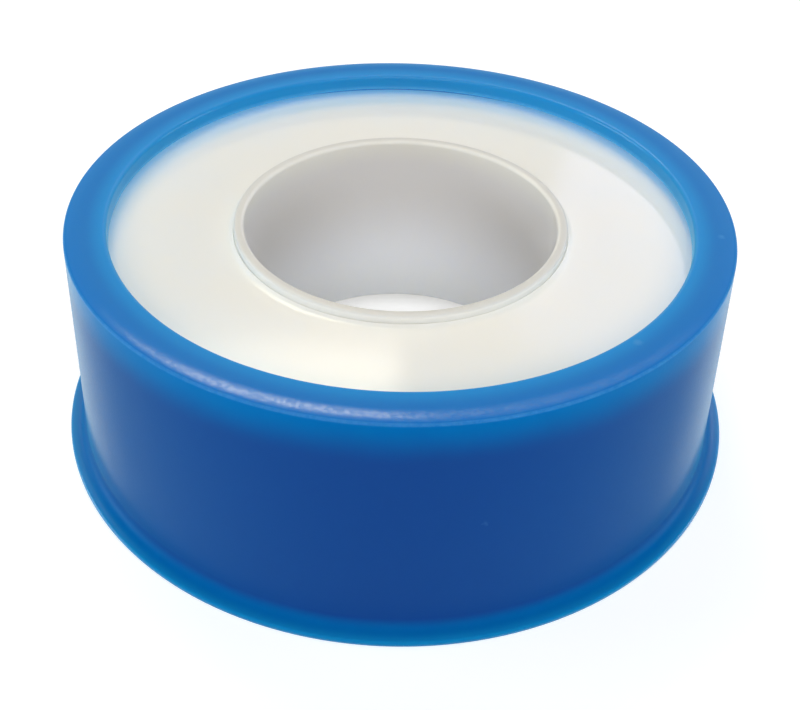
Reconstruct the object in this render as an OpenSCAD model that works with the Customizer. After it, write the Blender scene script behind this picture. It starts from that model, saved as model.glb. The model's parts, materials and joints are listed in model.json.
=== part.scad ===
// Thread seal tape roll: a moulded spool with a wound tape, a loose end disc and a lift-off outer shell.
// The roll lies flat: its axis is Z, the surface that it lies on is Z = 0, and all sizes are millimetres.

/* [Tape] */
// Width of the tape
tape_w = 12.7; // [9:0.1:25]
// Thickness drawn for the outermost turn and the free end
tape_t = 0.2; // [0.1:0.05:0.3]
// Direction, about the axis, in which the free end leaves the winding
tail_turn = 235; // [0:5:355]
// Angle over which the free end lifts off the winding
tail_angle = 40; // [20:5:80]
// Height that the tip of the free end lifts off the winding
tail_lift = 0.8; // [0.3:0.1:1]

/* [Spool] */
// Diameter of the bore through the hub
bore_d = 24; // [18:0.5:27]
// Wall of the hub under the winding
hub_wall = 1.5; // [1.2:0.1:2.5]
// Wall of the thin end of the hub
collar_wall = 0.8; // [0.6:0.1:1]
// Height that the hub's end stands proud of the end disc
collar_h = 0.75; // [0.4:0.05:1.2]
// Height of the ring under the lower flange, on which the spool stands
foot_h = 0.9; // [0.5:0.05:1.5]
// Width of that ring
foot_w = 1.2; // [0.8:0.1:2]
// Step from the flange's edge in to that ring
foot_inset = 0.4; // [0.3:0.05:1]
// Thickness of the lower flange
flange_t = 1.1; // [0.8:0.1:2]
// Thickness of the loose end disc
disc_t = 1.1; // [0.8:0.1:2]
// Rounding of the bore's two edges
bore_round = 0.3; // [0.1:0.05:0.35]
// Rounding of the outer edge of the hub's end, and of the ring's edges
collar_round = 0.2; // [0.05:0.05:0.25]
// Rounding of the flange's and the disc's outer edges
flange_round = 0.25; // [0.1:0.05:0.35]

/* [Shell] */
// Outside diameter of the shell at its top
shell_d = 50; // [44:0.5:70]
// Wall of the shell, measured level
shell_wall = 1.2; // [0.8:0.1:1.8]
// Draft angle of the wall, wider at the foot
wall_draft = 3; // [0:0.1:4]
// Width of the lip that reaches in over the end disc
lip_w = 3.05; // [2.2:0.05:5]
// Slope of the lip's top, down towards the inside
lip_slope = 3; // [0:0.5:6]
// Depth of the end disc below the top of the lip
disc_drop = 2.15; // [1.6:0.05:3]
// Reach of the brim beyond the foot of the wall
brim_w = 1.3; // [1.25:0.05:3]
// Thickness of the brim
brim_t = 0.5; // [0.45:0.05:1.2]
// Width of the lip's top that curves down to the wall
crown_w = 1.2; // [0.6:0.1:1.7]
// Radius of that curve
crown_r = 4; // [2:0.5:8]
// Rounding of the edge where that curve meets the wall
rim_round = 0.15; // [0.05:0.05:0.3]
// Rounding of the lip's inner edge, on top
lip_round = 0.3; // [0.1:0.05:0.5]
// Rounding of the lip's inner edge, underneath
lip_under_round = 0.15; // [0.05:0.05:0.25]
// Fillet between the wall and the brim
foot_fillet = 1; // [0.2:0.1:1.1]
// Rounding of the brim's edge
brim_round = 0.2; // [0.1:0.05:0.2]

/* [Clearances] */
// Gap between the tape's edges and the flange or the disc
tape_edge_gap = 0.25; // [0.1:0.05:0.5]
// Gap between the winding and the hub
winding_gap = 0.05; // [0.02:0.01:0.2]
// Room left outside the winding, up to the edge of the end disc
winding_room = 1.65; // [1.4:0.05:4]
// Radial running gap between the end disc and the hub
disc_running_gap = 0.06; // [0.02:0.01:0.1]
// Gap between the shell's wall and the flange or the disc inside it
shell_gap = 0.2; // [0.1:0.05:0.4]
// Gap between the underside of the lip and the end disc
lip_gap = 0.75; // [0.3:0.05:1]

/* [Hidden] */
$fn = 96;

// Heights, stacked up from the surface that the roll lies on
flange_z = foot_h;
flange_top = flange_z + flange_t;
tape_z = flange_top + tape_edge_gap;
tape_top = tape_z + tape_w;
disc_z = tape_top + tape_edge_gap;
disc_top = disc_z + disc_t;
hub_top = disc_top + collar_h;
shell_h = disc_top + disc_drop;
lip_z = disc_top + lip_gap;

// Radii of the spool
bore_r = bore_d / 2;
collar_r = bore_r + collar_wall;
hub_r = bore_r + hub_wall;

// Radii of the shell: the wall leans outwards by the draft on its way down
function wall_out(z) = shell_d / 2 + (shell_h - z) * tan(wall_draft);
function wall_in(z) = wall_out(z) - shell_wall;
lip_r = shell_d / 2 - lip_w;
crown_start_r = shell_d / 2 - crown_w;
lip_edge_z = shell_h - (crown_start_r - lip_r) * tan(lip_slope);
crown_tilt = asin(crown_w / crown_r);
crown_foot_z = shell_h - crown_r * (1 - cos(crown_tilt));
brim_r = wall_out(0) + brim_w;

// Radii of what sits inside the shell
flange_r = wall_in(flange_top) - shell_gap;
disc_r = wall_in(disc_top) - shell_gap;
disc_hole_r = collar_r + disc_running_gap;
winding_in_r = hub_r + winding_gap;
winding_out_r = disc_r - winding_room;

// Steps that draw the winding's outermost turn and its free end
TURN_STEPS = 120;
TAIL_STEPS = 10;

// Overshoot that keeps a corner piece from sharing an edge with the corner it rounds
CORNER_OVERSHOOT = 0.05;

// Shift of an arc's centre towards its corner, so that the arc crosses both edges and doesn't only graze them
CORNER_BITE = 0.003;

// Overshoot of a cut past the faces that it goes through
CUT_OVERSHOOT = 1;

BLUE = [0.03, 0.30, 0.66];
WHITE = [0.92, 0.92, 0.90];
TAPE_WHITE = [0.97, 0.97, 0.96];

function unit(v) = v / norm(v);
function polar(r, angle) = [r * cos(angle), r * sin(angle)];

// The piece between a corner and the arc that rounds it. along_a and along_b are unit vectors that leave
// the corner along its two edges. Cut away, the piece rounds an outer corner; added, it fills an inner one.
module corner_piece(corner, along_a, along_b, radius) {
    half_angle = acos(along_a * along_b) / 2;
    middle = unit(along_a + along_b);
    centre = corner + middle * (radius / sin(half_angle) - CORNER_BITE);
    reach = radius / tan(half_angle);
    difference() {
        polygon([
            corner + along_a * reach,
            corner - middle * CORNER_OVERSHOOT,
            corner + along_b * reach,
            centre
        ]);
        translate(centre) circle(r = radius);
    }
}

// What lies above the curve of the lip's top
module crown_cut() {
    difference() {
        translate([crown_start_r, crown_foot_z - CORNER_OVERSHOOT])
            square([crown_w + CUT_OVERSHOOT, shell_h - crown_foot_z + CUT_OVERSHOOT]);
        translate([crown_start_r, shell_h - crown_r + CORNER_BITE]) circle(r = crown_r);
    }
}

// Section of the shell: wall and lip in one outline, with the brim at its foot
module shell_section() {
    down_wall = [sin(wall_draft), -cos(wall_draft)];
    difference() {
        union() {
            polygon([
                [wall_in(0), 0],
                [wall_out(0), 0],
                [wall_out(shell_h), shell_h],
                [crown_start_r, shell_h],
                [lip_r, lip_edge_z],
                [lip_r, lip_z],
                [wall_in(lip_z), lip_z]
            ]);
            brim_root_r = wall_out(0) - shell_wall / 2;
            translate([brim_root_r, 0]) square([brim_r - brim_root_r, brim_t]);
            corner_piece([wall_out(brim_t), brim_t], -down_wall, [1, 0], foot_fillet);
        }
        crown_cut();
        corner_piece([wall_out(crown_foot_z), crown_foot_z], [-cos(crown_tilt), sin(crown_tilt)], down_wall, rim_round);
        corner_piece([lip_r, lip_edge_z], [cos(lip_slope), sin(lip_slope)], [0, -1], lip_round);
        corner_piece([lip_r, lip_z], [1, 0], [0, 1], lip_under_round);
        corner_piece([brim_r, brim_t], [-1, 0], [0, -1], brim_round);
        corner_piece([brim_r, 0], [-1, 0], [0, 1], brim_round);
    }
}

// A flat ring's section with its two outer edges rounded
module disc_section(inner_r, outer_r, z, thickness) {
    difference() {
        translate([inner_r, z]) square([outer_r - inner_r, thickness]);
        corner_piece([outer_r, z + thickness], [-1, 0], [0, -1], flange_round);
        corner_piece([outer_r, z], [-1, 0], [0, 1], flange_round);
    }
}

// Section of the spool: a tube with a thin upper end, a shoulder for the end disc, and the lower flange on its ring
module spool_section() {
    foot_out_r = flange_r - foot_inset;
    foot_in_r = foot_out_r - foot_w;
    difference() {
        union() {
            translate([bore_r, flange_z]) square([collar_wall, hub_top - flange_z]);
            translate([bore_r, flange_z]) square([hub_wall, disc_z - flange_z]);
            disc_section(bore_r, flange_r, flange_z, flange_t);
            translate([foot_in_r, 0]) square([foot_w, flange_z + flange_t / 2]);
        }
        corner_piece([bore_r, flange_z], [1, 0], [0, 1], bore_round);
        corner_piece([bore_r, hub_top], [1, 0], [0, -1], bore_round);
        corner_piece([collar_r, hub_top], [-1, 0], [0, -1], collar_round);
        corner_piece([foot_in_r, 0], [1, 0], [0, 1], collar_round);
        corner_piece([foot_out_r, 0], [-1, 0], [0, 1], collar_round);
    }
}

// Outline of the winding: one turn that grows by the tape's thickness, then the free end that peels off it
function turn_r(share) = winding_out_r - tape_t + tape_t * share;
function tail_under_r(share) = turn_r(share * tail_angle / 360) + tail_lift * share;

module winding_outline() {
    turn = [for (i = [0:TURN_STEPS]) polar(turn_r(i / TURN_STEPS), 360 * i / TURN_STEPS)];
    tail_outside = [for (i = [1:TAIL_STEPS])
        let (share = i / TAIL_STEPS) polar(tail_under_r(share) + tape_t, tail_angle * share)];
    tail_inside = [for (i = [TAIL_STEPS:-1:1])
        let (share = i / TAIL_STEPS) polar(tail_under_r(share), tail_angle * share)];
    polygon(concat(turn, tail_outside, tail_inside));
}

module outer_shell() {
    color(BLUE) rotate_extrude() shell_section();
}

module end_disc() {
    color(WHITE) rotate_extrude() disc_section(disc_hole_r, disc_r, disc_z, disc_t);
}

module spool_core() {
    color(WHITE) rotate_extrude() spool_section();
}

module tape_winding() {
    color(TAPE_WHITE) translate([0, 0, tape_z]) rotate(tail_turn) difference() {
        linear_extrude(tape_w) winding_outline();
        translate([0, 0, -CUT_OVERSHOOT]) cylinder(r = winding_in_r, h = tape_w + 2 * CUT_OVERSHOOT);
    }
}

outer_shell();
end_disc();
spool_core();
tape_winding();
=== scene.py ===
# %% [markdown]
# # A roll of thread seal tape
#
# The real object is three plastic mouldings and a wound strip of soft white film. A blue shell with a lip,
# a drafted wall and a brim slips over a white spool, and a loose white disc closes the spool's top. This
# lesson loads the engineered model as a fixed frame, then dresses each piece in that same frame, in metres,
# so nothing has to be fitted afterwards. Every moulding is turned from a rounded outline, and the tape is a
# true spiral.

# %% Load the frame
import json
import math

import bmesh
import bpy
from mathutils import Matrix, Vector


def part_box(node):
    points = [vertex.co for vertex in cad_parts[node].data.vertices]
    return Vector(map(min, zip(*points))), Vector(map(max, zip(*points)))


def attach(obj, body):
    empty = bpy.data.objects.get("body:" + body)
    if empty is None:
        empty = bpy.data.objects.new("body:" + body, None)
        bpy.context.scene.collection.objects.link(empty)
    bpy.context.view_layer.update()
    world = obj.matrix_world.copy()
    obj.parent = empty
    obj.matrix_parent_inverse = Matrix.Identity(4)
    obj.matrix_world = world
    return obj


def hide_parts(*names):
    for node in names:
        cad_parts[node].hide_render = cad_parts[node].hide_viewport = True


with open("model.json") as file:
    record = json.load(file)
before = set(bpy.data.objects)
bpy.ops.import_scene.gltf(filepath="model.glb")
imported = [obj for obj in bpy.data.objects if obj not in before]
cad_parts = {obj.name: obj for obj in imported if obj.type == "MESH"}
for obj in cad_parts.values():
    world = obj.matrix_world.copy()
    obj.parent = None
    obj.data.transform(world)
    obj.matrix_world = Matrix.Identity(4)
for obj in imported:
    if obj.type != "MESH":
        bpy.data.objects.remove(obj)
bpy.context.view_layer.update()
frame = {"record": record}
MM = 0.001

# %% [markdown]
# ## Wires: node maths as Python
#
# Geometry trees and shader trees are both made of nodes. Linking dozens of Math nodes by hand is hard to
# read, so one small class wraps a node's output: adding or multiplying two wires adds the Math node for it.
# Every other kind of node comes from its one `node` method.


# %% A class for node outputs
class Wire:
    """One output of a node. Arithmetic on it adds Math nodes to the same tree."""

    def __init__(self, tree, socket):
        self.tree = tree
        self.socket = socket

    @staticmethod
    def node(tree, kind, settings=(), inputs=(), output=0):
        """Adds a node, applies its settings, then fills its sockets. Returns the output that is asked for."""
        made = tree.nodes.new(kind)
        for name, value in dict(settings).items():
            setattr(made, name, value)
        by_identifier = {socket.identifier: socket for socket in made.inputs}
        for key, value in dict(inputs).items():
            socket = by_identifier[key] if key in by_identifier else made.inputs[key]
            if isinstance(value, Wire):
                tree.links.new(value.socket, socket)
            else:
                socket.default_value = value
        return Wire(tree, made.outputs[output]) if made.outputs else None

    def out(self, name):
        """Another output of the same node."""
        return Wire(self.tree, self.socket.node.outputs[name])

    def math(self, operation, *others):
        return Wire.node(self.tree, "ShaderNodeMath", {"operation": operation}, enumerate((self, *others)))

    def swapped(self, operation, other):
        return Wire.node(self.tree, "ShaderNodeMath", {"operation": operation}, {0: other, 1: self})

    def __add__(self, other):
        return self.math("ADD", other)

    def __radd__(self, other):
        return self.math("ADD", other)

    def __sub__(self, other):
        return self.math("SUBTRACT", other)

    def __rsub__(self, other):
        return self.swapped("SUBTRACT", other)

    def __mul__(self, other):
        return self.math("MULTIPLY", other)

    def __rmul__(self, other):
        return self.math("MULTIPLY", other)

    def __truediv__(self, other):
        return self.math("DIVIDE", other)

    def __rtruediv__(self, other):
        return self.swapped("DIVIDE", other)

    def __pow__(self, other):
        return self.math("POWER", other)

    def __rpow__(self, other):
        return self.swapped("POWER", other)

    def step(self, low, high):
        """0 at low and 1 at high, with a soft step between them. low may be the larger of the two."""
        inputs = {"Value": self, "From Min": low, "From Max": high}
        return Wire.node(self.tree, "ShaderNodeMapRange", {"interpolation_type": "SMOOTHSTEP"}, inputs)


print("Wire methods:", [name for name in vars(Wire) if not name.startswith("_")])

# %% [markdown]
# ## The camera
#
# The photo looks down on the roll from about 40 degrees, close up. Where the camera stood was worked out
# from the ellipses of the rim, lip, bore and brim: a camera that draws all of them right is the camera of
# the photo. Its focal length is kept in pixels of the photo's frame, and turned into millimetres on
# Blender's 36 mm sensor.

# %% Place the camera
PHOTO_WIDTH_PX = 800
FOCAL_PX = 1111.8
SENSOR_WIDTH = 36.0
CAMERA_AT = Vector((0.0, -73.11, 62.43)) * MM
CAMERA_AIM = Vector((0.215, 0.0, 3.343)) * MM
CAMERA_ROLL = math.radians(1.6)
CLIP_NEAR = 5 * MM
CLIP_FAR = 20.0


def looking(at, aim, roll=0.0):
    """The matrix of a camera or lamp that stands at one point and looks at another."""
    forward = (aim - at).normalized()
    right = forward.cross(Vector((0, 0, 1))).normalized()
    up = right.cross(forward)
    turned_right = right * math.cos(roll) + up * math.sin(roll)
    turned_up = up * math.cos(roll) - right * math.sin(roll)
    return Matrix.Translation(at) @ Matrix((turned_right, turned_up, -forward)).transposed().to_4x4()


camera_data = bpy.data.cameras.new("photo_camera")
camera_data.sensor_width = SENSOR_WIDTH
camera_data.lens = FOCAL_PX / PHOTO_WIDTH_PX * SENSOR_WIDTH
camera_data.clip_start = CLIP_NEAR
camera_data.clip_end = CLIP_FAR
camera = bpy.data.objects.new("photo_camera", camera_data)
camera.matrix_world = looking(CAMERA_AT, CAMERA_AIM, CAMERA_ROLL)
bpy.context.scene.collection.objects.link(camera)
bpy.context.scene.camera = camera
print("camera lens in mm:", round(camera_data.lens, 2))

# %% [markdown]
# ## Floor and background
#
# The photo's background is pure white. A pale floor lit at a plain level comes out a little under white, so
# camera rays also see a faint glow on it, which leaves the roll's shadow in place. Away from the roll the
# glow grows to pure white. Reflections see the same glow, and the lighting doesn't. The world works the
# same way: white to look at, dimmer as a source of light. More light would whiten the floor too, but it
# would burn out the disc.

# %% Make the floor
FLOOR_SIZE = 4.0
FLOOR_DROP = 0.05 * MM
FLOOR_GREY = (0.68, 0.68, 0.68, 1)
FLOOR_GLOW = 0.48
SHADOW_REACH = 0.12
WHITE_REACH = 0.36


def seen_directly(tree):
    """1 for rays from the camera, from a mirror or through glass, and 0 for rays that carry light around."""
    camera_ray = Wire.node(tree, "ShaderNodeLightPath", output="Is Camera Ray")
    either = camera_ray.math("MAXIMUM", camera_ray.out("Is Glossy Ray"))
    return either.math("MAXIMUM", camera_ray.out("Is Transmission Ray"))


def blank_material(name):
    """A material with an empty node tree, and that tree."""
    material = bpy.data.materials.new(name)
    material.use_nodes = True
    material.node_tree.nodes.clear()
    return material, material.node_tree


pale_floor, tree = blank_material("pale_floor")
matt = Wire.node(tree, "ShaderNodeBsdfDiffuse", {}, {"Color": FLOOR_GREY})
spot = Wire.node(tree, "ShaderNodeTexCoord", output="Object")
away = Wire.node(tree, "ShaderNodeVectorMath", {"operation": "LENGTH"}, {0: spot}, "Value")
glow_level = away.step(SHADOW_REACH, WHITE_REACH) * (1 - FLOOR_GLOW) + FLOOR_GLOW
glow = Wire.node(tree, "ShaderNodeEmission", {}, {"Strength": seen_directly(tree) * glow_level})
both = Wire.node(tree, "ShaderNodeAddShader", {}, {0: matt, 1: glow})
Wire.node(tree, "ShaderNodeOutputMaterial", {}, {"Surface": both})

floor_mesh = bpy.data.meshes.new("floor")
half = FLOOR_SIZE / 2
corners = [(x, y, -FLOOR_DROP) for x, y in ((-half, -half), (half, -half), (half, half), (-half, half))]
floor_mesh.from_pydata(corners, [], [(0, 1, 2, 3)])
floor_mesh.materials.append(pale_floor)
floor = bpy.data.objects.new("floor", floor_mesh)
bpy.context.scene.collection.objects.link(floor)
print("floor is", FLOOR_SIZE, "m wide")

# %% Make the world
AMBIENT = 0.06

world = bpy.data.worlds.new("white_room")
world.use_nodes = True
world.node_tree.nodes.clear()
level = seen_directly(world.node_tree) * (1 - AMBIENT) + AMBIENT
sky = Wire.node(world.node_tree, "ShaderNodeBackground", {}, {"Color": (1, 1, 1, 1), "Strength": level})
Wire.node(world.node_tree, "ShaderNodeOutputWorld", {}, {"Surface": sky})
bpy.context.scene.world = world
bpy.context.scene.view_settings.view_transform = "Standard"
print("the world lights the roll at", AMBIENT, "of white")

# %% [markdown]
# ## Lamps
#
# Reflections tell where the photo's light came from. The burnt-out patch on the front of the white disc
# mirrors a warm window behind the roll, a little to the left, and the bright band along the front of the
# blue rim mirrors the upper part of that window. The cool third at the right of the disc mirrors another
# window, behind to the right. A ceiling lamp and four plain fills light the rest evenly. Each lamp is a
# flat panel whose face has a given brightness, where 1 is white. Point lamps would be simpler, but they
# leave dots on gloss instead of patches.

# %% Hang the lamps
LIGHT_AIM = Vector((0.0, 0.0, 16.0)) * MM
LAMP_DISTANCE = 0.60
TO_THE_FRONT = Vector((0, -1, 0))


def panel(name, azimuth, elevation, width, height, brightness, colour, distance=LAMP_DISTANCE, upright=False):
    """A soft flat lamp, in degrees and metres. Azimuth 0 is the camera's side, 90 its right, 180 the back.

    An upright lamp looks straight to the front, like a window in a back wall. Any other faces the roll."""
    a, e = math.radians(azimuth), math.radians(elevation)
    direction = Vector((math.sin(a) * math.cos(e), -math.cos(a) * math.cos(e), math.sin(e)))
    data = bpy.data.lights.new(name, "AREA")
    data.shape = "RECTANGLE"
    data.size = width
    data.size_y = height
    data.energy = brightness * math.pi * width * height
    data.color = colour
    lamp = bpy.data.objects.new(name, data)
    at = LIGHT_AIM + direction * distance
    lamp.matrix_world = looking(at, at + TO_THE_FRONT if upright else LIGHT_AIM)
    bpy.context.scene.collection.objects.link(lamp)
    print("lamp", name, "gives", round(data.energy, 2), "W")


panel("window_low", azimuth=190.2, elevation=44.3, width=0.13, height=0.115, brightness=6.9,
      colour=(1.0, 0.93, 0.78), distance=0.5108, upright=True)
panel("window_high", azimuth=202.6, elevation=56.5, width=0.30, height=0.35, brightness=6.0,
      colour=(1.0, 0.92, 0.75), distance=0.7064, upright=True)
panel("ceiling", azimuth=0, elevation=80, width=0.36, height=0.30, brightness=1.55, colour=(1.0, 1.0, 0.88))
panel("window_back_right", azimuth=150.6, elevation=31, width=0.36, height=0.20, brightness=1.85,
      colour=(0.66, 0.67, 1.0))
panel("fill_front_high", azimuth=0, elevation=43, width=0.92, height=0.34, brightness=2.5,
      colour=(1.0, 1.02, 1.05))
panel("fill_front_low", azimuth=0, elevation=20, width=0.46, height=0.26, brightness=2.0,
      colour=(1.0, 1.0, 1.0))
panel("fill_left", azimuth=-95, elevation=8, width=0.30, height=0.18, brightness=9.2, colour=(1.0, 1.0, 0.98))
panel("fill_right", azimuth=95, elevation=8, width=0.30, height=0.18, brightness=6.9, colour=(1.0, 1.0, 1.0))

# %% [markdown]
# ## Outlines with rounded corners
#
# Moulded plastic has no sharp edges, and the thin bright lines along its edges are what tell the eye that
# it is plastic. Each outline is a short list of corners: distance from the axis, height, and rounding. A
# function turns every corner into an arc. A Bevel modifier could do it too, but in a list each corner says
# its own radius. The function also adds a point just outside each arc, so that smooth shading bends only in
# the arc and the flats stay flat.

# %% Round the corners of an outline
ARC_STEP = math.radians(11)
FEWEST_ARC_STEPS = 2
SUPPORT_GAP = 0.12 * MM
SHORTEST_FLAT = 4 * SUPPORT_GAP


def turned(vector, angle):
    """A plane vector turned clockwise, the way in which angle_signed counts."""
    c, s = math.cos(angle), math.sin(angle)
    return Vector((vector.x * c + vector.y * s, vector.y * c - vector.x * s))


def corner_arc(before, corner, after, rounding):
    """The points of the arc that rounds a corner between its neighbours, or the corner if it stays sharp."""
    if not rounding:
        return [corner]
    to_before = (before - corner).normalized()
    to_after = (after - corner).normalized()
    half_angle = to_before.angle(to_after) / 2
    centre = corner + (to_before + to_after).normalized() * (rounding / math.sin(half_angle))
    reach = rounding / math.tan(half_angle)
    first = corner + to_before * reach - centre
    last = corner + to_after * reach - centre
    sweep = first.angle_signed(last)
    steps = max(FEWEST_ARC_STEPS, math.ceil(abs(sweep) / ARC_STEP))
    return [centre + turned(first, sweep * i / steps) for i in range(steps + 1)]


def rounded_outline(corners):
    """The closed outline through corners of (distance from the axis, height, rounding), all in metres."""
    places = [Vector((r, z)) for r, z, rounding in corners]
    arcs = []
    for i, (r, z, rounding) in enumerate(corners):
        after = places[(i + 1) % len(places)]
        arcs.append(corner_arc(places[i - 1], places[i], after, rounding))
    outline = []
    for i, arc in enumerate(arcs):
        outline.extend(arc)
        start, end = arc[-1], arcs[(i + 1) % len(arcs)][0]
        flat = end - start
        if flat.length > SHORTEST_FLAT:
            outline.append(start + flat.normalized() * SUPPORT_GAP)
            outline.append(end - flat.normalized() * SUPPORT_GAP)
    return outline


TRIAL_ROUNDING = 0.2 * MM
trial_square = [(r * MM, z * MM, TRIAL_ROUNDING) for r, z in ((1, 0), (3, 0), (3, 2), (1, 2))]
print("a square with rounded corners has", len(rounded_outline(trial_square)), "points")

# %% [markdown]
# ## Turned mouldings
#
# The shell, the disc and the spool are all round, so each is one outline carried around the axis. Blender's
# Spin tool could do it. A Geometry Nodes tree does it with named inputs instead: the outline becomes a
# curve, a circle is the path, and Curve to Mesh sweeps one along the other. All three mouldings share the
# tree.

# %% Build the sweep as a tree
STEPS_AROUND = 256
SWEEP_R = 20 * MM


def new_tree(name, inputs, output):
    """A Geometry Nodes tree with named inputs and one geometry output. Returns it and its first input."""
    tree = bpy.data.node_groups.new(name, "GeometryNodeTree")
    for label, kind in inputs.items():
        tree.interface.new_socket(label, in_out="INPUT", socket_type="NodeSocket" + kind)
    tree.interface.new_socket(output, in_out="OUTPUT", socket_type="NodeSocketGeometry")
    return tree, Wire.node(tree, "NodeGroupInput")


def finish_tree(tree, geometry, material, output):
    """Ends a tree: instances become real, the material goes on, and the result leaves."""
    real = Wire.node(tree, "GeometryNodeRealizeInstances", {}, {"Geometry": geometry})
    coated = Wire.node(tree, "GeometryNodeSetMaterial", {}, {"Geometry": real, "Material": material})
    Wire.node(tree, "NodeGroupOutput", {}, {output: coated})


moulding_inputs = {
    "Outline": "Geometry",
    "Sweep radius": "Float",
    "Steps around": "Int",
    "Plastic": "Material",
}
moulding_tree, outline = new_tree("turned_moulding", moulding_inputs, "Moulding")
sweep_r = outline.out("Sweep radius")
inwards = Wire.node(moulding_tree, "ShaderNodeCombineXYZ", {}, {"X": sweep_r * -1})
# The sweep draws a section upside down, so it is mirrored first
moved = {"Geometry": outline, "Translation": inwards, "Scale": (1, -1, 1)}
section = Wire.node(moulding_tree, "GeometryNodeTransform", {}, moved)
profile = Wire.node(moulding_tree, "GeometryNodeMeshToCurve", {}, {"Mesh": section})
ring = {"Resolution": outline.out("Steps around"), "Radius": sweep_r}
path = Wire.node(moulding_tree, "GeometryNodeCurvePrimitiveCircle", {}, ring)
swept = Wire.node(moulding_tree, "GeometryNodeCurveToMesh", {}, {"Curve": path, "Profile Curve": profile})
smooth = Wire.node(moulding_tree, "GeometryNodeSetShadeSmooth", {}, {"Geometry": swept, "Shade Smooth": True})
finish_tree(moulding_tree, smooth, outline.out("Plastic"), "Moulding")
print("the sweep has", len(moulding_tree.nodes), "nodes")

# %% [markdown]
# A tree is run through a modifier. Its inputs are set by their identifiers before Blender first evaluates
# the object. The evaluated result is then copied into a plain mesh and the modifier goes, because a
# finished piece should be nothing but a mesh. Normals are recalculated last, so every face points outwards.


# %% Run a tree and keep a plain mesh
def run_tree(tree, name, mesh, values):
    """Runs a Geometry Nodes tree on a mesh and returns an object that holds the result."""
    piece = bpy.data.objects.new(name, mesh)
    bpy.context.scene.collection.objects.link(piece)
    modifier = piece.modifiers.new(tree.name, "NODES")
    modifier.node_group = tree
    for item in tree.interface.items_tree:
        if item.in_out == "INPUT" and item.name in values:
            modifier[item.identifier] = values[item.name]
    evaluated = piece.evaluated_get(bpy.context.evaluated_depsgraph_get())
    plain = bpy.data.meshes.new_from_object(evaluated)
    piece.modifiers.clear()
    piece.data = plain
    plain.name = name
    build = bmesh.new()
    build.from_mesh(plain)
    bmesh.ops.recalc_face_normals(build, faces=build.faces)
    build.to_mesh(plain)
    build.free()
    print(name, "has", len(plain.polygons), "faces")
    return piece


def turned_moulding(name, corners, plastic):
    """A round moulding from the corners of its section."""
    points = rounded_outline(corners)
    mesh = bpy.data.meshes.new(name + "_outline")
    edges = [(i, (i + 1) % len(points)) for i in range(len(points))]
    mesh.from_pydata([(p.x, p.y, 0.0) for p in points], edges, [])
    values = {"Sweep radius": SWEEP_R, "Steps around": STEPS_AROUND, "Plastic": plastic}
    return run_tree(moulding_tree, name, mesh, values)


def place_piece(piece, body, node):
    """Lets a piece stand for a node of the frame, on that node's body."""
    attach(piece, body)
    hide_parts(node)
    low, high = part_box(node)
    print(piece.name, "stands for", node, "from z", round(low.z / MM, 2), "to", round(high.z / MM, 2), "mm")


print("mouldings are swept in", STEPS_AROUND, "steps")

# %% [markdown]
# ## What the finishes share
#
# A finish is mixed from masks: bands of height and of distance from the axis, and noise with grains of a
# real size. An image texture could hold the same, but masks in millimetres stay sharp and can be read. Both
# plastics are thin and let light through. Scattering every ray inside the walls would be slow, so a lamp's
# shadow ray simply passes through with a tint, which lays a blue fade on the disc beside the lip. Every
# other ray sees the plastic's skin.

# %% Helpers for materials
NOISE_MIDDLE = 0.5
EVEN_BLEND = 0.5


def place_on_piece(tree):
    """The place on the piece, in metres."""
    return Wire.node(tree, "ShaderNodeTexCoord", output="Object")


def radius_and_height(tree, place):
    """How far a place is from the roll's axis and from the table, in millimetres."""
    x = Wire.node(tree, "ShaderNodeSeparateXYZ", {}, {"Vector": place}, "X")
    x_mm, y_mm, z_mm = x / MM, x.out("Y") / MM, x.out("Z") / MM
    return (x_mm * x_mm + y_mm * y_mm) ** 0.5, z_mm


def noise(tree, place, grain, detail, roughness=0.5):
    """Noise between 0 and 1 whose grains are about the given number of millimetres across."""
    inputs = {"Vector": place, "Scale": 1 / (grain * MM), "Detail": detail, "Roughness": roughness}
    return Wire.node(tree, "ShaderNodeTexNoise", {}, inputs)


def slant_of(tree):
    """0 where the surface is seen straight on, and 1 where it is seen edge on. For gloss and sheen only."""
    return Wire.node(tree, "ShaderNodeLayerWeight", {}, {"Blend": EVEN_BLEND}, output="Facing")


def mix_colours(tree, amount, first, second):
    """The first colour where amount is 0 and the second where it is 1."""
    inputs = {"Factor_Float": amount, "A_Color": first, "B_Color": second}
    return Wire.node(tree, "ShaderNodeMix", {"data_type": "RGBA"}, inputs, "Result")


def bump(tree, height, depth):
    """A Bump node: height 0 to 1 stands for so many millimetres of relief."""
    return Wire.node(tree, "ShaderNodeBump", {}, {"Height": height, "Distance": depth * MM, "Strength": 1.0})


def finish_plastic(tree, inputs, through):
    """Ends a plastic: its skin for every ray, except that lamps shine through its thin walls with a tint."""
    skin = Wire.node(tree, "ShaderNodeBsdfPrincipled", {}, inputs)
    light_through = Wire.node(tree, "ShaderNodeBsdfTransparent", {}, {"Color": through})
    shadow_ray = Wire.node(tree, "ShaderNodeLightPath", output="Is Shadow Ray")
    both = Wire.node(tree, "ShaderNodeMixShader", {}, {"Fac": shadow_ray, 1: skin, 2: light_through})
    Wire.node(tree, "ShaderNodeOutputMaterial", {}, {"Surface": both})


print("material helpers are ready")
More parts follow.
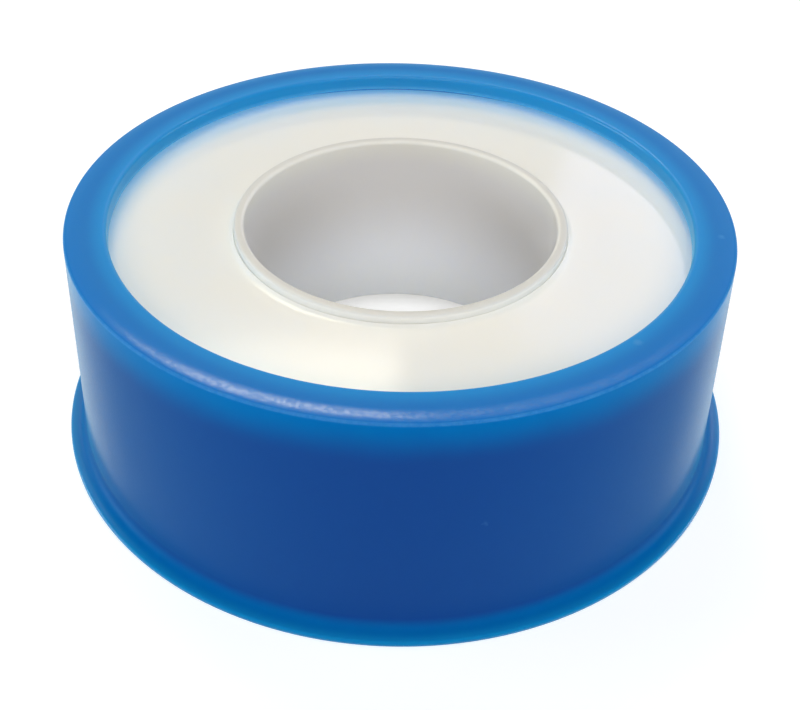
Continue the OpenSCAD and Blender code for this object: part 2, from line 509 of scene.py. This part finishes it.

# %% [markdown]
# ## The blue plastic
#
# The shell is satin polyethylene that lets some light in. Where the light gets in from two sides, at the
# rim and the brim, it glows a clear sky blue, and in the middle of the wall it deepens to navy. That glow is
# painted light: it is mixed into the colour by height on the piece, and a slow noise keeps it from being
# ruled with a straight edge. The lip is painted lighter the same way, by its distance from the axis, most
# towards its thin inner edge and on its inner face. Each band below is where a mask is 0 and where it is 1,
# as heights (Z) or distances from the axis (R) in millimetres.

# %% Mix the blue
NAVY = (0.009, 0.055, 0.265, 1)
# painted light: the lighter blues below, for the rim, brim and lip, stand in for light shining through the
# thin plastic
SKY_PAINTED_LIGHT = (0.000, 0.142, 0.445, 1)
BRIM_LIT_BLUE = (0.000, 0.112, 0.360, 1)
BRIM_EDGE_LIT_BLUE = (0.005, 0.195, 0.440, 1)
LIP_BLUE = (0.022, 0.168, 0.505, 1)
LIP_EDGE_LIT_BLUE = (0.026, 0.245, 0.600, 1)
LIP_INSIDE_LIT_BLUE = (0.009, 0.226, 0.525, 1)
LIP_UNDER_LIT_BLUE = (0.075, 0.330, 0.615, 1)

UNDER_RIM_Z = (15.0, 18.2)
ON_BRIM_Z = (1.4, 0.6)
BRIM_EDGE_R = (26.4, 27.2)
ON_LIP_R = (24.98, 24.70)
LIP_EDGE_R = (23.6, 22.2)
INSIDE_LIP_R = (22.2, 21.98)
UNDER_LIP_Z = (17.55, 17.05)
RIM_WAVER = 0.8
BRIM_WAVER = 0.2

blue_plastic, tree = blank_material("blue_shell_plastic")
place = place_on_piece(tree)
r, z = radius_and_height(tree, place)
cloud = noise(tree, place, grain=6.0, detail=3.0) - NOISE_MIDDLE
# painted light: the band under the rim is painted sky blue where light shines into the shell; the wall's
# middle stays navy
painted_rim_light = (z + cloud * RIM_WAVER).step(*UNDER_RIM_Z)
on_brim = (z + cloud * BRIM_WAVER).step(*ON_BRIM_Z)
# painted light: the brim is painted a lighter blue than the wall, and lighter still towards its thin outer
# edge, where light shines through it
brim_painted_light = mix_colours(tree, r.step(*BRIM_EDGE_R), BRIM_LIT_BLUE, BRIM_EDGE_LIT_BLUE)
# painted light: the lip is painted lighter towards its thin inner edge, and its inner face lighter towards
# its underside, where light shines through the lip
lip_colour = mix_colours(tree, r.step(*LIP_EDGE_R), LIP_BLUE, LIP_EDGE_LIT_BLUE)
lit_lip_inside = mix_colours(tree, z.step(*UNDER_LIP_Z), LIP_INSIDE_LIT_BLUE, LIP_UNDER_LIT_BLUE)
lip_colour = mix_colours(tree, r.step(*INSIDE_LIP_R), lip_colour, lit_lip_inside)
blue = mix_colours(tree, painted_rim_light, NAVY, SKY_PAINTED_LIGHT)
blue = mix_colours(tree, on_brim, blue, brim_painted_light)
blue = mix_colours(tree, r.step(*ON_LIP_R), blue, lip_colour)
print("the blue so far has", len(tree.nodes), "nodes")

# %% [markdown]
# ## Wear and a painted highlight on the blue
#
# A shell that lives in a tool box isn't even: a few small scuffs are paler. The crease around the rim is
# painted paler too, as a thin painted highlight where its edge catches the light. Scuffs could be painted one
# by one. Here Voronoi cells scatter them, a share of the cells gets one, and a fine noise frays their edges.

# %% Wear the blue and paint the crease's highlight
# the paler blue serves both the real scuffs and the crease's painted highlight
WORN_AND_HIGHLIGHT_BLUE = (0.090, 0.290, 0.610, 1)
SCUFF_SPACING = 6 * MM
SCUFF_FRAY = 0.05
SCUFF_EDGE = (0.11, 0.06)
SCUFF_SHARE = (0.45, 0.55)
SCUFF_WEAR = 0.6
CREASE_R = (24.84, 24.92)
CREASE_Z = (18.05, 18.2)
CREASE_HIGHLIGHT = 0.65

worn = noise(tree, place, grain=0.45, detail=4.0, roughness=0.65)
spots = Wire.node(tree, "ShaderNodeTexVoronoi", {}, {"Vector": place, "Scale": 1 / SCUFF_SPACING})
chosen = Wire.node(tree, "ShaderNodeSeparateColor", {}, {"Color": spots.out("Color")})
scuffs = (spots + worn * SCUFF_FRAY).step(*SCUFF_EDGE) * chosen.step(*SCUFF_SHARE)
# painted highlight: the crease around the rim is painted paler where its edge catches the light; the scuffs
# are real wear
crease = r.step(*CREASE_R) * z.step(*CREASE_Z)
scuffs_and_crease_highlight = (scuffs * SCUFF_WEAR).math("MAXIMUM", crease * worn * CREASE_HIGHLIGHT)
blue = mix_colours(tree, scuffs_and_crease_highlight, blue, WORN_AND_HIGHLIGHT_BLUE)
print("the worn blue has", len(tree.nodes), "nodes")

# %% [markdown]
# ## Gloss on the blue
#
# The plastic is satin, but fingers have polished the rim's curved top, and at the front the window's
# reflection breaks up into dapples there. The lip's inner edge is smooth from the mould, and the wall and
# the brim catch a pale sheen where they are seen at a slant. A change of roughness could do some of this,
# but it would take the satin away. A clear coat over the satin keeps both, with a weight that changes from
# place to place.

# %% Gloss the blue
CROWN_INSIDE_R = (23.70, 24.35)
CROWN_OUTSIDE_R = (24.95, 24.45)
CROWN_SLANT = (0.42, 0.22)
CROWN_LEAST = 0.6
CROWN_DAPPLE = 0.8
DAPPLE_EDGE = (0.36, 0.64)
WALL_R = (24.9, 25.0)
WALL_SLANT = (0.62, 0.95)
WALL_LEAST = 0.2
WALL_MOTTLE = 0.6
SMOOTH_EDGE_R = (22.3, 22.1)
SMOOTH_EDGE_GLOSS = 0.35
LEDGE_R = (26.1, 26.4)
LEDGE_Z = (0.7, 0.55)
LEDGE_SLANT = (0.22, 0.42)
LEDGE_GLOSS = 0.5

slant = slant_of(tree)
dapple = noise(tree, place, grain=0.28, detail=2.0, roughness=0.6).step(*DAPPLE_EDGE)
crown = r.step(*CROWN_INSIDE_R) * r.step(*CROWN_OUTSIDE_R)
crown_gloss = crown * (dapple * CROWN_DAPPLE + CROWN_LEAST) * slant.step(*CROWN_SLANT)
wall_gloss = slant.step(*WALL_SLANT) * r.step(*WALL_R) * (worn * WALL_MOTTLE + WALL_LEAST)
edge_gloss = r.step(*SMOOTH_EDGE_R) * SMOOTH_EDGE_GLOSS
ledge_gloss = r.step(*LEDGE_R) * z.step(*LEDGE_Z) * slant.step(*LEDGE_SLANT) * LEDGE_GLOSS
blue_gloss = crown_gloss + wall_gloss + edge_gloss + ledge_gloss
print("the glossy blue has", len(tree.nodes), "nodes")

# %% [markdown]
# ## The finished blue
#
# All the masks meet in one shader. Light sinks a little into such plastic and comes out beside where it
# went in, blue light furthest, which softens every change of colour. Paler paint could imitate that in one
# light, but subsurface scattering does it in any. A fine grain in the roughness and the relief keeps the
# plastic satin.

# %% Finish the blue
BLUE_GLINT = (0.10, 0.50, 1.00, 1)
SHEEN_BLUE = (0.00, 0.75, 1.00, 1)
THROUGH_BLUE = (0.32, 0.69, 0.90, 1)
BLUE_ROUGHNESS = 0.32
GRAIN_ROUGHNESS = 0.10
CLOUD_ROUGHNESS = 0.08
SCUFF_ROUGHNESS = 0.15
BLUE_RELIEF = 0.005

grain = noise(tree, place, grain=0.18, detail=3.0, roughness=0.6)
uneven = grain * GRAIN_ROUGHNESS + cloud * CLOUD_ROUGHNESS + scuffs * SCUFF_ROUGHNESS
inputs = {
    "Base Color": blue,
    "Roughness": uneven + BLUE_ROUGHNESS,
    "Normal": bump(tree, grain, BLUE_RELIEF),
    "Specular IOR Level": 0.05,
    "Specular Tint": BLUE_GLINT,
    "Subsurface Weight": 0.4,
    "Subsurface Radius": (0.2, 0.6, 1.0),
    "Subsurface Scale": 1.2 * MM,
    "Coat Weight": blue_gloss,
    "Coat Roughness": 0.2,
    "Sheen Weight": 0.22,
    "Sheen Roughness": 0.5,
    "Sheen Tint": SHEEN_BLUE,
}
finish_plastic(tree, inputs, THROUGH_BLUE)
print("blue plastic has", len(tree.nodes), "nodes")

# %% [markdown]
# ## The shell
#
# One blue moulding, open underneath: a lip reaches in over the disc, the wall widens towards its foot so
# that it leaves its mould, and a thin brim stiffens that foot. Its outer sizes come from the frame's box,
# and the wall's thickness and most roundings are those of the engineered part. It could be a cylinder with
# bevels, but the curved top of the lip is what catches the light, so that is drawn as an arc.

# %% Turn the shell
WALL_DRAFT = math.radians(3)
SHELL_WALL = 1.2 * MM
INSIDE_FOOT_EDGE = 0.08 * MM
BRIM_REACH = 1.3 * MM
BRIM_THICKNESS = 0.5 * MM
BRIM_EDGE = 0.2 * MM
FOOT_FILLET = 1.0 * MM
CREASE_EDGE = 0.12 * MM
LIP_REACH = 3.05 * MM
LIP_GAP = 0.75 * MM
LIP_SLOPE = math.radians(3)
LIP_TOP_EDGE = 0.3 * MM
LIP_UNDER_EDGE = 0.15 * MM
INSIDE_CORNER = 0.15 * MM
CROWN_WIDTH = 1.2 * MM
CROWN_R = 4.0 * MM
CROWN_STEPS = 9

shell_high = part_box("outer_shell")[1]
disc_low, disc_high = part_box("end_disc")
shell_top = shell_high.z
brim_r = shell_high.x
lip_under = disc_high.z + LIP_GAP


def wall_r(z):
    """The outside radius of the shell's wall at a height."""
    return brim_r - BRIM_REACH - z * math.tan(WALL_DRAFT)


rim_r = wall_r(shell_top)
lip_r = rim_r - LIP_REACH
crown_at = rim_r - CROWN_WIDTH


def crown_corner(angle):
    """A corner of the lip's curved top, where it leans outwards by an angle, with no rounding of its own."""
    return crown_at + CROWN_R * math.sin(angle), shell_top - CROWN_R * (1 - math.cos(angle)), 0.0


crown_tilt = math.asin(CROWN_WIDTH / CROWN_R)
crown_angles = [crown_tilt - i / CROWN_STEPS * (crown_tilt + LIP_SLOPE) for i in range(CROWN_STEPS + 1)]
crown_corners = [crown_corner(angle) for angle in crown_angles]
crease_z = crown_corners[0][1]
lip_edge_z = crown_corners[-1][1] - (crown_corners[-1][0] - lip_r) * math.tan(LIP_SLOPE)
shell_corners = [
    (wall_r(0) - SHELL_WALL, 0.0, INSIDE_FOOT_EDGE),
    (brim_r, 0.0, BRIM_EDGE),
    (brim_r, BRIM_THICKNESS, BRIM_EDGE),
    (wall_r(BRIM_THICKNESS), BRIM_THICKNESS, FOOT_FILLET),
    (wall_r(crease_z), crease_z, CREASE_EDGE),
    *crown_corners[1:],
    (lip_r, lip_edge_z, LIP_TOP_EDGE),
    (lip_r, lip_under, LIP_UNDER_EDGE),
    (wall_r(lip_under) - SHELL_WALL, lip_under, INSIDE_CORNER),
]
shell = turned_moulding("blue_shell", shell_corners, blue_plastic)
place_piece(shell, "shell", "outer_shell")

# %% [markdown]
# ## The white plastic
#
# The disc and the spool are one kind of plastic: warm white, a little translucent, glossier than the shell,
# with a faint sparkle where its fine grain catches the window. Inside the bore it is matt, and it shines only
# where it is seen at a slant. Its colour there is painted shade, greyer than the disc, with painted light
# that makes it paler and cooler towards the foot and a little paler at the rim. The collar's side is painted
# lighter and its top darker, standing in for light that shines through its thin wall. A second material could
# hold the bore, but the spool is one moulding, so a mask by distance from the axis keeps it in one. Bands are
# in millimetres, as for the blue.

# %% Mix the white
WARM_WHITE = (0.856, 0.834, 0.774, 1)
COOL_WHITE = (0.844, 0.832, 0.788, 1)
# painted light and shade: the collar's colours below are lit and shaded copies of the same white
COLLAR_TOP_SHADE = (0.630, 0.617, 0.580, 1)
COLLAR_SIDE_LIGHT = (0.760, 0.745, 0.700, 1)
# painted shade and light: the bore's colours below are a shaded grey, a lighter foot and a lighter rim
BORE_SHADE = (0.682, 0.661, 0.646, 1)
BORE_FOOT_LIGHT = (0.884, 0.902, 0.944, 1)
BORE_RIM_LIGHT = (0.730, 0.712, 0.660, 1)

CLOUD_EDGE = (0.35, 0.65)
ON_HUB_R = (12.95, 12.75)
COLLAR_TOP_Z = (16.8, 17.0)
IN_BORE_R = (12.3, 12.05)
BORE_COOL_Z = (13.0, 3.0)
BORE_RIM_Z = (14.6, 16.8)

white_plastic, tree = blank_material("white_spool_plastic")
place = place_on_piece(tree)
r, z = radius_and_height(tree, place)
on_hub = r.step(*ON_HUB_R)
in_bore = r.step(*IN_BORE_R)
cloud = noise(tree, place, grain=8.0, detail=3.0)
# painted light and shade: the collar's side is painted lighter and its top darker, standing in for light that
# shines through the thin collar
collar = mix_colours(tree, z.step(*COLLAR_TOP_Z), COLLAR_SIDE_LIGHT, COLLAR_TOP_SHADE)
# painted shade and light: the bore is painted greyer than the disc, paler and cooler towards its foot where
# light comes up from the floor, and a little paler at its rim where light comes through the collar
bore = mix_colours(tree, z.step(*BORE_COOL_Z), BORE_SHADE, BORE_FOOT_LIGHT)
bore = mix_colours(tree, z.step(*BORE_RIM_Z), bore, BORE_RIM_LIGHT)
white = mix_colours(tree, cloud.step(*CLOUD_EDGE), WARM_WHITE, COOL_WHITE)
white = mix_colours(tree, on_hub, white, collar)
white = mix_colours(tree, in_bore, white, bore)
print("the white so far has", len(tree.nodes), "nodes")

# %% Gloss the white
THROUGH_WHITE = (0.66, 0.64, 0.59, 1)
BORE_SLANT = (0.25, 0.75)
WHITE_ROUGHNESS = 0.07
HUB_ROUGHNESS = 0.28
SPARKLE_ROUGHNESS = 0.06
WHITE_RELIEF = 0.0015

grain = noise(tree, place, grain=0.15, detail=2.0, roughness=0.6)
inputs = {
    "Base Color": white,
    "Roughness": grain * SPARKLE_ROUGHNESS + on_hub * HUB_ROUGHNESS + WHITE_ROUGHNESS,
    "Normal": bump(tree, grain, WHITE_RELIEF),
    "Specular IOR Level": 0.28,
    "Coat Weight": in_bore * slant_of(tree).step(*BORE_SLANT),
    "Coat Roughness": 0.3,
    "Subsurface Weight": 0.8,
    "Subsurface Radius": (1.0, 0.95, 0.85),
    "Subsurface Scale": 0.8 * MM,
}
finish_plastic(tree, inputs, THROUGH_WHITE)
print("white plastic has", len(tree.nodes), "nodes")

# %% [markdown]
# ## The end disc
#
# A flat white ring drops over the end of the hub and rests on its shoulder. The hub's end comes up through
# its hole with a little play, and that gap is the fine grey line around the hub in the photo. The disc
# rises a little towards its hole. A plain washer would leave that out, so the rise is in the outline: each
# of its corners is so many millimetres out from the hole and up from the disc's face.

# %% Turn the end disc
DISC_HOLE_R = 12.83 * MM
HOLE_EDGE = 0.12 * MM
DISC_EDGE = 0.25 * MM
UPSTAND = [(0.55, 0.0), (0.40, 0.012), (0.28, 0.042), (0.18, 0.09)]
UPSTAND_HEIGHT = 0.16 * MM
UPSTAND_EDGE = 0.05 * MM

disc_r = disc_high.x
disc_corners = [
    (DISC_HOLE_R, disc_low.z, HOLE_EDGE),
    (disc_r, disc_low.z, DISC_EDGE),
    (disc_r, disc_high.z, DISC_EDGE),
    *[(DISC_HOLE_R + out * MM, disc_high.z + up * MM, 0.0) for out, up in UPSTAND],
    (DISC_HOLE_R, disc_high.z + UPSTAND_HEIGHT, UPSTAND_EDGE),
]
disc = turned_moulding("white_end_disc", disc_corners, white_plastic)
place_piece(disc, "disc", "end_disc")

# %% [markdown]
# ## The spool core
#
# One white moulding carries the tape: a tube with a thin upper end, a shoulder for the disc, and a flange
# at the foot that stands on a low ring. It could be three rings joined by booleans, but one outline has
# cleaner faces. Its bore is a mount of the part, so its radius is read from there.

# %% Turn the spool core
COLLAR_WALL = 0.8 * MM
HUB_WALL = 1.5 * MM
FLANGE_Z = 0.9 * MM
FLANGE_TOP = 2.0 * MM
FOOT_WIDTH = 1.2 * MM
FOOT_INSET = 0.4 * MM
INNER_CORNER = 0.1 * MM
BORE_EDGE = 0.3 * MM
COLLAR_EDGE = 0.2 * MM

spool_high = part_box("spool_core")[1]
bore_mount = next(mount for mount in frame["record"]["mounts"] if mount["name"] == "hub_bore")
bore_r = bore_mount["dims"]["r_mm"] * MM
collar_r = bore_r + COLLAR_WALL
hub_r = bore_r + HUB_WALL
flange_r = spool_high.x
foot_r = flange_r - FOOT_INSET
spool_corners = [
    (bore_r, FLANGE_Z, BORE_EDGE),
    (foot_r - FOOT_WIDTH, FLANGE_Z, INNER_CORNER),
    (foot_r - FOOT_WIDTH, 0.0, COLLAR_EDGE),
    (foot_r, 0.0, COLLAR_EDGE),
    (foot_r, FLANGE_Z, INNER_CORNER),
    (flange_r, FLANGE_Z, DISC_EDGE),
    (flange_r, FLANGE_TOP, DISC_EDGE),
    (hub_r, FLANGE_TOP, INNER_CORNER),
    (hub_r, disc_low.z, INNER_CORNER),
    (collar_r, disc_low.z, INNER_CORNER),
    (collar_r, spool_high.z, COLLAR_EDGE),
    (bore_r, spool_high.z, BORE_EDGE),
]
spool = turned_moulding("white_spool_core", spool_corners, white_plastic)
place_piece(spool, "spool", "spool_core")

# %% [markdown]
# ## The film
#
# The tape is soft unsintered film: matt, very white, with fine streaks along its length from the rollers
# that stretched it. Streaks could be drawn as stripes, but then they would be all alike. They are noise
# instead, fine across the tape's width and drawn out around the winding.

# %% Mix the film
FILM_WHITE = (0.860, 0.860, 0.855, 1)
FILM_SHADE = (0.740, 0.745, 0.750, 1)
DRAW_OUT = (0.02, 0.02, 1.0)
STREAK_EDGE = (0.38, 0.72)
FILM_ROUGHNESS = 0.55
STREAK_ROUGHNESS = 0.15
FILM_RELIEF = 0.02

seal_film, tree = blank_material("seal_tape_film")
drawn_out = Wire.node(tree, "ShaderNodeMapping", {}, {"Vector": place_on_piece(tree), "Scale": DRAW_OUT})
streaks = noise(tree, drawn_out, grain=0.22, detail=3.0, roughness=0.6)
inputs = {
    "Base Color": mix_colours(tree, streaks.step(*STREAK_EDGE), FILM_WHITE, FILM_SHADE),
    "Roughness": streaks * STREAK_ROUGHNESS + FILM_ROUGHNESS,
    "Normal": bump(tree, streaks, FILM_RELIEF),
    "Subsurface Weight": 0.3,
    "Subsurface Radius": (1.0, 1.0, 0.95),
    "Subsurface Scale": 0.6 * MM,
}
skin = Wire.node(tree, "ShaderNodeBsdfPrincipled", {}, inputs)
Wire.node(tree, "ShaderNodeOutputMaterial", {}, {"Surface": skin})
print("film has", len(tree.nodes), "nodes")

# %% [markdown]
# ## The winding
#
# About 12 m of film is wound on the hub. It could be a plain ring, but the real one is a spiral, and a
# spiral shows its edges and its free end. It is drawn as 84 turns, fewer and thicker than the real ones, to
# keep the mesh light. The tree makes a line of points, bends it into a spiral by each point's number, and
# sweeps the film's thin section along it. The film's edges wander a little, and after the last full turn
# the free end lifts off.

# %% Build the spiral as a tree
TURNS = 84
STEPS_PER_TURN = 96
TAIL_START = math.radians(235)
TAIL_ANGLE = math.radians(40)
TAIL_LIFT = 0.8 * MM
EDGE_WANDER = 0.08 * MM
WANDERS_PER_TURN = 1.7

winding_inputs = {
    "Start": "Geometry",
    "Inner radius": "Float",
    "Outer radius": "Float",
    "Foot": "Float",
    "Tape width": "Float",
    "Film": "Float",
    "Film material": "Material",
}
winding_tree, start = new_tree("wound_tape", winding_inputs, "Winding")
tail_steps = round(TAIL_ANGLE / (2 * math.pi) * STEPS_PER_TURN)
point_row = {"Count": TURNS * STEPS_PER_TURN + tail_steps + 1, "Offset": (0.0, 0.0, 0.0)}
line = Wire.node(winding_tree, "GeometryNodeMeshLine", {}, point_row)
strip = Wire.node(winding_tree, "GeometryNodeMeshToCurve", {}, {"Mesh": line})
turn = Wire.node(winding_tree, "GeometryNodeInputIndex") / STEPS_PER_TURN
angle = turn * (2 * math.pi) + TAIL_START
half_film = start.out("Film") / 2
growth = (start.out("Outer radius") - start.out("Inner radius") - start.out("Film")) / TURNS
past_winding = (turn - TURNS).math("MAXIMUM", 0.0) * (STEPS_PER_TURN / tail_steps)
radius = start.out("Inner radius") + half_film + turn * growth + past_winding * TAIL_LIFT
wave = {"W": turn * WANDERS_PER_TURN, "Scale": 1.0}
wander = Wire.node(winding_tree, "ShaderNodeTexNoise", {"noise_dimensions": "1D"}, wave) - NOISE_MIDDLE
middle = start.out("Foot") + start.out("Tape width") / 2 + wander * (2 * EDGE_WANDER)
bent = {"X": radius * angle.math("COSINE"), "Y": radius * angle.math("SINE"), "Z": middle}
bent_to = Wire.node(winding_tree, "ShaderNodeCombineXYZ", {}, bent)
spiral = Wire.node(winding_tree, "GeometryNodeSetPosition", {}, {"Geometry": strip, "Position": bent_to})
print("the spiral has", point_row["Count"], "points")

# %% Sweep the film along it
FILM_THICKNESS = 0.09 * MM
SHARP_EDGE = math.radians(50)
WINDING_IN_R = 13.55 * MM
WINDING_ROOM = 1.65 * MM

film_section = {"Width": start.out("Film"), "Height": start.out("Tape width")}
section = Wire.node(winding_tree, "GeometryNodeCurvePrimitiveQuadrilateral", {}, film_section)
swept = {"Curve": spiral, "Profile Curve": section, "Fill Caps": True}
film_mesh = Wire.node(winding_tree, "GeometryNodeCurveToMesh", {}, swept)
softened = {"Geometry": film_mesh, "Shade Smooth": True}
smooth = Wire.node(winding_tree, "GeometryNodeSetShadeSmooth", {}, softened)
sharp = Wire.node(winding_tree, "GeometryNodeInputMeshEdgeAngle").math("GREATER_THAN", SHARP_EDGE)
edged = {"Geometry": smooth, "Selection": sharp, "Shade Smooth": False}
crisp = Wire.node(winding_tree, "GeometryNodeSetShadeSmooth", {"domain": "EDGE"}, edged)
finish_tree(winding_tree, crisp, start.out("Film material"), "Winding")

tape_low, tape_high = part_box("tape_winding")
values = {
    "Inner radius": WINDING_IN_R,
    "Outer radius": disc_r - WINDING_ROOM,
    "Foot": tape_low.z,
    "Tape width": tape_high.z - tape_low.z,
    "Film": FILM_THICKNESS,
    "Film material": seal_film,
}
tape = run_tree(winding_tree, "wound_tape", bpy.data.meshes.new("wound_tape_start"), values)
place_piece(tape, "spool", "tape_winding")

# %% [markdown] ## The roll's size The dressed roll has to be as big as the engineered one.
